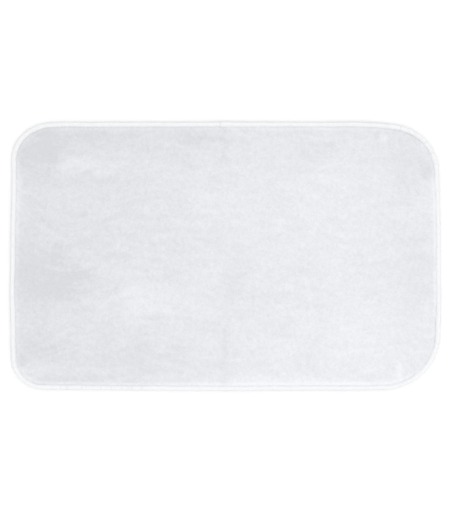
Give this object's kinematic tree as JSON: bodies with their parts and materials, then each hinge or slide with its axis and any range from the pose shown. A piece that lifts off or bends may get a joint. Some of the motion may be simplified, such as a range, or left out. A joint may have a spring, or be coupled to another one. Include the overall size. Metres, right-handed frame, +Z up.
{
  "type": "bath mat",
  "caption": "Soft plush bath mat with rounded corners: pile face over a foam core, non-slip underside, and a folded tape bound round the edge.",
  "frame": {"origin": "on the floor under the middle of the mat", "axes": "+X along the length to the right, +Y across the width to the back, +Z up out of the pile"},
  "size_m": [0.8, 0.5, 0.014],
  "materials": {
    "plush_pile": "matte",
    "binding_tape": "matte",
    "sewing_thread": "satin",
    "soft_foam": "matte",
    "grip_sheet": "matte"
  },
  "bodies": {
    "root": {"plush_face": "plush_pile", "foam_core": "soft_foam", "grip_backing": "grip_sheet", "edge_binding": "binding_tape", "needle_thread": "sewing_thread", "bobbin_thread": "sewing_thread"}
  },
  "joints": []
}
